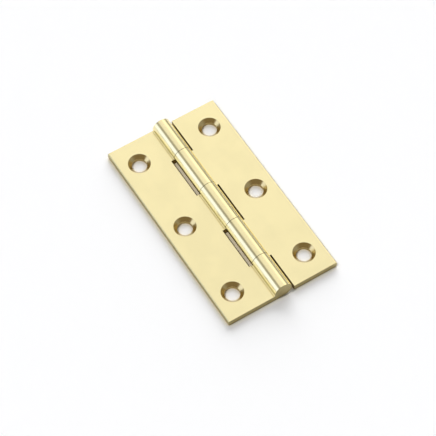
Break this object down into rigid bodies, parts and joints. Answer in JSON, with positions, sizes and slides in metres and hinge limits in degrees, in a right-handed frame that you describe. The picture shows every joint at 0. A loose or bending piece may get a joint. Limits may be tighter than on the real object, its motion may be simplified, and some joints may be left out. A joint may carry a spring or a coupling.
{
  "type": "cabinet butt hinge",
  "caption": "Drawn brass cabinet butt hinge, open flat: a frame leaf and a door leaf with countersunk screw holes turn on a riveted pin through their interleaved knuckles.",
  "frame": {"origin": "under the middle of the barrel, on the plane of the leaves' backs, halfway along the hinge", "axes": "+X across to the door leaf's outer edge, +Y along the pin, +Z out of the countersunk faces"},
  "size_m": [0.0348, 0.0636, 0.0054],
  "materials": {
    "satin_brass": "pale brass, satin polished",
    "pin_brass": "pale brass, ends dressed flush"
  },
  "bodies": {
    "frame_side": {"frame_leaf": "satin_brass", "hinge_pin": "pin_brass"},
    "door_side": {"door_leaf": "satin_brass"}
  },
  "joints": [
    {"name": "leaf_swing", "type": "hinge", "parent": "frame_side", "child": "door_side", "pos_m": [0, 0, 0.0027], "axis": [0, -1, 0], "range_deg": [-105, 180]}
  ]
}
